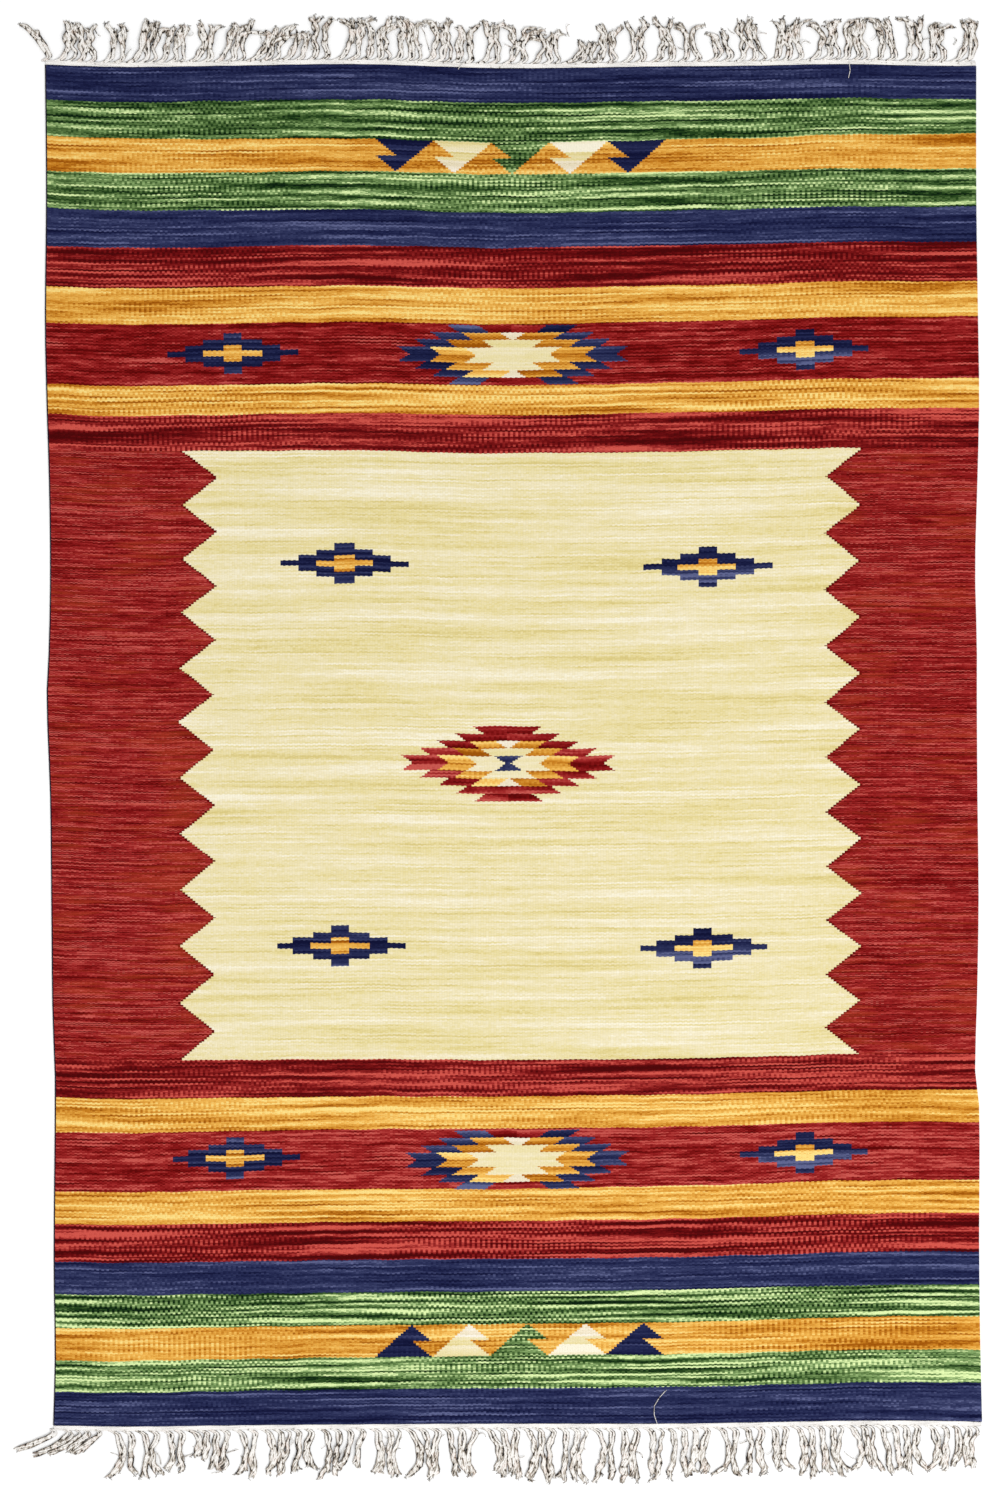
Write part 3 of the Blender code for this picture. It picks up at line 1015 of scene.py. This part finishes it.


def cord_route(end, tufts, number, slot, ply):
    """Points and radii of one cord, from the heading to its tip, and its strand's middles."""
    count, flow = tuft_flow(tufts, number)
    key = number * 7 + slot + (0 if end > 0 else 400)
    strand_end = 1 - TIP_SCATTER * ((slot * 0.618 + number * 0.37) % 1.0)
    tip = strand_end * (1.02 - 0.08 * vary(key, ply))
    own = (slot + 0.5) / count * 2 - 1
    partner = min(slot // 2 * 2 + 1, count - 0.5) / count * 2 - 1
    crosses = CROSSING if vary(key, 5) > 1 - CROSSING_SHARE else 0.0
    tangle = FAR_TANGLE if end > 0 else 1.0
    sway = SWAY_LEAST + SWAY_MORE * tangle * vary(key, 7)
    wave = WAVE_LEAST + WAVE_MORE * vary(key, 8)
    phase = vary(key, 2) * ROUND
    curl = CURL * tangle * (vary(key, 4) * 2 - 1) * (0.7 + 0.3 * vary(key, ply, 4))
    curl_from = LONG_CURL_FROM if vary(key, 10) < LONG_CURLS * tangle else CURL_FROM
    curl_radius = (1 - curl_from) * tip * tufts[number][2] / abs(curl)
    crisp = 0.9 + 0.35 * vary(key, 9)
    slope = tufts[number][1] / tufts[number][2]
    upright = 1 / math.hypot(1, slope)
    points, radii, middles = [], [], []
    for step in range(CORD_POINTS):
        share = (step / (CORD_POINTS - 1)) ** 1.25
        # Where the strand's middle lies, with its pairing, sweep, sway and curl.
        crossed = crosses * math.sin(math.pi / 2 * min(share * 1.4, 1.0)) ** 2
        place = own + (partner - own) * (GROUP_HOLD * math.exp(-share * 3.0) + crossed)
        along, depth = flow(max(-1.0, min(1.0, place)), share * tip)
        along -= ROOT_SWEEP * max(1 - depth / ROOT_TURN, 0.0) ** 2
        along += sway * math.sin(depth / wave * ROUND + phase) * min(share * 3, 1.0)
        bend = max(share - curl_from, 0.0) / (1 - curl_from) * curl
        along += curl_radius * math.copysign(1 - math.cos(bend), bend)
        out = PIECE_GAP + HEADING_WIDE - 1.0 + depth
        out -= curl_radius * (abs(bend) - math.sin(abs(bend)))
        # Where the cord lies in the twist round that middle.
        turn = phase + ply * ROUND / CORDS_A_STRAND + depth / TWIST_LENGTH * ROUND
        radius = CORD_RADIUS * (1 + LOOSENED * min(share * 1.6, 1.0))
        radius *= 0.8 + 0.4 * vary(key, ply, 6)
        apart = TWIST_WIDE * (0.7 + 1.3 * min(share * 1.3, 1.0))
        middle = beyond_end(end, along, out)
        aside = apart * math.cos(turn) * upright
        plan = beyond_end(end, along + aside, out - aside * slope)
        # Painted light: the roots are drawn lighter than the tips.
        lightness = 1 + ROOT_LIGHT * (1 - share) ** 2
        middles.append((middle.x, middle.y, (apart + radius) * crisp, lightness))
        radius *= 0.6 if step == CORD_POINTS - 1 else 1 + 0.08 * math.sin(depth + phase)
        lift = TWIST_HIGH * (1 + math.sin(turn)) * min(share * 3 + 0.3, 1.0)
        lift += crosses * math.sin(math.pi * share)
        points.append((plan.x, plan.y, radius + lift))
        radii.append(radius)
    return points, radii, middles


def fringe_routes(end, tufts):
    """Routes of all cords of one end."""
    return [
        cord_route(end, tufts, number, slot, ply)
        for number in range(len(tufts))
        for slot in range(tuft_flow(tufts, number)[0])
        for ply in range(CORDS_A_STRAND)
    ]


far_cords, near_cords = fringe_routes(1, FAR_TUFTS), fringe_routes(-1, NEAR_TUFTS)
print("cords:", len(far_cords), "far and", len(near_cords), "near")

# %% [markdown]
# ## Frayed tips, loose threads and the heading
#
# Cut cotton untwists, so many tips end in a few fine fibres. Some single threads have come
# loose altogether and lie where they fell. The heading is four picks of plain cream cotton
# between the coloured weft and the fringe; four thicker cords side by side make it.

# %% Finer parts of the fringe
FRAY_SHARE, FRAY_RADIUS, FRAY_LENGTH, FRAY_FIBRES = 0.3, 0.4, 6.0, 4
FRAY_STATIONS = (-0.2, 0.3, 0.65, 1.0)
STRAY_THREADS, STRAY_POINTS = 30, 8
STRAY_FROM, STRAY_OVER = 10, 38          # how far out from the heading they start
STRAY_HEIGHT = 3.4
HEADING_ROWS, HEADING_RADIUS, HEADING_STEP = 4, 1.25, 8.0
THREAD_RADIUS = 0.6
ABOVE_CLOTH, ABOVE_FLOOR = 0.9, 2.2      # what a loose thread lies on top of

# Loose threads, each a given line of plan points from the rug's middle.
FAR_THREADS = (
    ((-140, 1180), (-147, 1203), (-153, 1225), (-160, 1236), (-170, 1240)),
    ((-84, 1180), (-89, 1172), (-95, 1162)),
    ((577, 1176), (579, 1160), (576, 1147)),
)
NEAR_THREADS = (
    ((-502, -1216), (-494, -1230), (-497, -1244), (-507, -1251), (-520, -1253)),
    ((263, -1109), (251, -1122), (242, -1137), (242, -1152), (247, -1167)),
    ((-545, -1188), (-536, -1200), (-541, -1209), (-552, -1207)),
)


def frays(routes):
    """A few fine fibres that spread from the tips of many cords."""
    made = []
    for number, (points, *_) in enumerate(routes):
        if vary(number, 11) > FRAY_SHARE:
            continue
        tip, before = Vector(points[-1]), Vector(points[-3])
        ahead = (tip - before).normalized()
        for fibre in range(FRAY_FIBRES):
            turn = (vary(number, fibre, 12) - 0.5) * 2.4
            way = Vector((ahead.x * math.cos(turn) - ahead.y * math.sin(turn),
                          ahead.x * math.sin(turn) + ahead.y * math.cos(turn), 0.0))
            length = FRAY_LENGTH * (0.35 + 0.65 * vary(number, fibre, 13))
            fine = []
            for sunk, share in enumerate(FRAY_STATIONS):
                place = tip + (ahead * (1 - share) + way * share) * length * share
                fine.append((place.x, place.y, max(place.z * (1 - 0.3 * sunk), FRAY_RADIUS)))
            made.append((fine, [FRAY_RADIUS] * len(fine)))
    return made


def strays(end):
    """Single threads that lie across the tufts in loose curves."""
    made = []
    for number in range(STRAY_THREADS):
        key = number + (0 if end > 0 else 500)
        along = CLOTH_WIDTH * (number + vary(key, 21)) / STRAY_THREADS
        out = HEADING_WIDE + STRAY_FROM + STRAY_OVER * vary(key, 22)
        way = (vary(key, 23) - 0.5) * 2.2 + (math.pi if vary(key, 24) > 0.5 else 0.0)
        stride = 2.0 + 3.0 * vary(key, 25)
        bend = (vary(key, 26) - 0.5) * 0.9
        points = []
        for step in range(STRAY_POINTS):
            plan = beyond_end(end, along, out)
            height = STRAY_HEIGHT + 1.6 * math.sin(step * 0.7 + key)
            points.append((plan.x, plan.y, height))
            along += stride * math.cos(way)
            out = max(out + stride * math.sin(way), HEADING_WIDE + 3)
            way += bend * (1 + math.sin(step * 0.9 + key))
        made.append((points, [THREAD_RADIUS * (0.8 + 0.8 * vary(key, 27))] * STRAY_POINTS))
    return made


def heading_rows(end):
    made = []
    for row in range(HEADING_ROWS):
        share = row / (HEADING_ROWS - 1)
        out = PIECE_GAP + HEADING_RADIUS + share * (HEADING_WIDE - 2 * HEADING_RADIUS)
        points, radii = [], []
        for step in range(int(CLOTH_WIDTH / HEADING_STEP) + 1):
            along = min(max(step * HEADING_STEP, HEADING_RADIUS), CLOTH_WIDTH - HEADING_RADIUS)
            wobble = 0.25 * math.sin(along / 9 + row * 2.1)
            plan = beyond_end(end, along, out + wobble)
            points.append((plan.x, plan.y, HEADING_RADIUS + 0.25 * (step % 2)))
            radii.append(HEADING_RADIUS * (0.94 + 0.12 * vary(step, row, 3)))
        made.append((points, radii))
    return made


def thread_routes(threads):
    """A loose thread lies on whatever is under it: the cloth, or the floor beyond its end."""
    made = []
    for line in threads:
        points = []
        for x, y in line:
            on_cloth = abs(y) < CLOTH_LENGTH / 2 + HEADING_WIDE
            lift = CLOTH_THICK + ABOVE_CLOTH if on_cloth else ABOVE_FLOOR
            points.append((x, y, lift + THREAD_RADIUS))
        made.append((points, [THREAD_RADIUS] * len(points)))
    return made


print("fibres:", len(frays(far_cords)), "far and", len(frays(near_cords)), "near")

# %% [markdown]
# ## From routes to one mesh
#
# A cord is one spline of a curve object with a round bevel, which gives it six sides and a
# UV map along it. The whole fringe is then made one mesh, because only a mesh can hold a
# number for each point: how open the point is to the light. A second UV map gives each
# cord a square of its own, so that the material can be baked.

# %% Spin the cords into a mesh
SIDES = 6
# Painted light: the heading and the loose threads are given at least this much light, times how
# far they face up.
HEADING_LIGHT, LOOSE_LIGHT = 1.8, 0.75
EDGE_PAINTED_SHADE, EDGE_FROM, EDGE_SOFT = 0.8, 0.35, 0.5     # painted shade along a strand's edges
FULL_HEIGHT, LOOSE_WIDE = 5.0, 9.0                   # painted shade low down fades out up to this height; loose threads get no painted edge shade
CELL_SHARE, CELL_MARGIN = 0.84, 0.08


def spun(name, routes):
    """One mesh of round cords, each a spline through its points."""
    curve = bpy.data.curves.new(name, "CURVE")
    curve.dimensions = "3D"
    curve.twist_mode = "Z_UP"
    curve.bevel_depth = MM
    curve.bevel_resolution = SIDES // 2 - 2
    for points, radii, *_ in routes:
        spline = curve.splines.new("POLY")
        spline.points.add(len(points) - 1)
        for knot, place, radius in zip(spline.points, points, radii):
            knot.co = (*(c * MM for c in place), 1.0)
            knot.radius = radius
    thing = placed(name, curve)
    bpy.context.view_layer.update()
    solid = thing.evaluated_get(bpy.context.evaluated_depsgraph_get())
    mesh = bpy.data.meshes.new_from_object(solid)
    bpy.data.objects.remove(thing)
    mesh.name = name
    mesh.shade_smooth()
    return placed(name, mesh)


def lay_bake_cells(mesh, routes, own_cells):
    """A second UV map: each of the first routes gets its own square cell, the rest share one."""
    spans = np.array([len(route[0]) - 1 for route in routes])
    route = np.repeat(np.arange(len(routes)), spans * SIDES * 4)
    cell = np.minimum(route, own_cells)
    across = math.ceil(math.sqrt(own_cells + 1))
    places = read(mesh.uv_layers["UVMap"].data, "uv", 2) * CELL_SHARE + CELL_MARGIN
    corner = np.stack([cell % across, cell // across], axis=1)
    set_uv(mesh, "OFBake", (places + corner) / across)


def store_openness(mesh, routes):
    """How much light reaches each point: little low down and at a strand's edges."""
    place = read(mesh.vertices, "co", 3) / MM
    facing = np.clip(read(mesh.vertices, "normal", 3)[:, 2] * 1.25, 0.0, 1.0)
    height = np.clip(place[:, 2] / FULL_HEIGHT, 0.0, 1.0)
    least, middles = [], []
    for number, route in enumerate(routes):
        strand = len(route) > 2
        given = 0.0 if strand else HEADING_LIGHT if number < HEADING_ROWS else LOOSE_LIGHT
        known = route[2] if strand else [(*point[:2], LOOSE_WIDE, 1.0) for point in route[0]]
        middles += [point for point in known for _ in range(SIDES)]
        least += [given] * len(known) * SIDES
    middles, least = np.array(middles), np.array(least)
    aside = np.linalg.norm(place[:, :2] - middles[:, :2], axis=1) / middles[:, 2]
    edge = np.clip((aside - EDGE_FROM) / EDGE_SOFT, 0.0, 1.0)
    openness = (0.7 + 0.3 * facing) * (0.55 + 0.35 * height) * (1 - EDGE_PAINTED_SHADE * edge)
    openness *= middles[:, 3]
    layer = mesh.attributes.new("openness", "FLOAT", "POINT")
    layer.data.foreach_set("value", np.maximum(openness, least * facing).astype(np.float32))


def make_fringe(name, end, cords, threads):
    rows = heading_rows(end) + thread_routes(threads)
    loose, fibres = strays(end), frays(cords)
    routes = rows + cords + loose + fibres
    piece = spun(name, routes)
    lay_bake_cells(piece.data, routes, len(routes) - len(fibres))
    store_openness(piece.data, routes)
    print(name, "faces:", len(piece.data.polygons))
    return piece


far_fringe = make_fringe("far_cotton", 1, far_cords, FAR_THREADS)
near_fringe = make_fringe("near_cotton", -1, near_cords, NEAR_THREADS)

# %% [markdown]
# ## Cotton
#
# Undyed cotton is an uneven warm white, a little rosy in places. It is dark low down and
# along the edges of the strands, where little light gets in, and light on top. The points
# of the mesh hold that as a number, and a ramp turns it into a colour. Noise adds lighter
# and darker patches and small dark specks, and a fine bump the twist and the fibres.

# %% Make the cotton
COTTON = (
    (0.0, "#140f0b"), (0.2, "#4b4139"), (0.42, "#93887b"), (0.64, "#cdc5b9"), (0.92, "#fdfaf6"),
)
TINT, TINT_LENGTH, TINT_COLOUR = 0.65, 16.0, "#e6b8a0"    # rosy patches
PATCH, PATCH_WIDE, PATCH_LONG = 0.38, 8, 14
SPECK_WIDE, SPECK_LONG, SPECK_LEAST = 4.2, 7.5, 0.25
SPECK_DARK, FAR_SPECK_SHADE = 1.2, 0.6                          # painted shade: the far end's specks are darker
LIGHTER, NEAR_DARKER = 0.08, 0.03
TINT_UNTIL = 1.15                                          # the lightest parts stay untinted
PLY_TURNS, PLIES = 16, 2
FIBRE_WIDE, FIBRE_LONG = 0.7, 0.9
TWIST_HEIGHT = 0.0003


def warp_cotton():
    made, tree, shader = fabric("warp_cotton", 0.95, 0.05)
    place = new_node(tree, "ShaderNodeTexCoord", {})
    x, y = (part / MM for part in two_parts(tree, place.outputs["Object"]))
    stored = new_node(tree, "ShaderNodeAttribute", {}, attribute_name="openness")
    openness = Term(tree, stored.outputs["Fac"])
    patch = noise(x / PATCH_WIDE, y / PATCH_LONG, 1.0) * PATCH
    speck = (noise(x / SPECK_WIDE + 7.0, y / SPECK_LONG, 1.0) - SPECK_LEAST).clamped()
    # Painted shade: the specks are drawn darker at the far end.
    speck = speck * ((y > 0) * -FAR_SPECK_SHADE - SPECK_DARK)
    light = openness + patch + speck + LIGHTER - (y < 0) * NEAR_DARKER
    stops = [(share, linear(colour, AS_SEEN)) for share, colour in COTTON]
    plain = ramp(tree, light.clamped(), stops).outputs["Color"]
    tint = noise(x / TINT_LENGTH, y / TINT_LENGTH, 1.0).clamped() * TINT
    tint = tint * (TINT_UNTIL - openness).clamped()
    tinted = mix_colour(tree, tint, plain, linear(TINT_COLOUR), "MULTIPLY")
    tree.links.new(tinted, shader.inputs["Base Color"])
    cord_uv = new_node(tree, "ShaderNodeUVMap", {}, uv_map="UVMap")
    along, around = two_parts(tree, cord_uv.outputs["UV"])
    twist = (along * PLY_TURNS + around * PLIES).wave()
    fibres = noise(x / FIBRE_WIDE, y / FIBRE_LONG, 1.0)
    raise_bumps(tree, shader, twist + fibres * 0.5, TWIST_HEIGHT)
    print("nodes in the cotton:", len(tree.nodes))
    return made


cotton = warp_cotton()
for fringe in (far_fringe, near_fringe):
    fringe.data.materials.clear()
    fringe.data.materials.append(cotton)

# %% [markdown]
# ## What each piece stands for
#
# The three pieces ride on the rug's one body and stand for its three solids, which are hidden.

# %% Tie the pieces to the solids
for piece, node, finish in ((cloth, "kilim_cloth", "striped_wool"),
                            (far_fringe, "far_fringe", "warp_cotton"),
                            (near_fringe, "near_fringe", "warp_cotton")):
    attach(piece, "root")
    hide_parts(node)
    print(piece.name, "stands for", node)
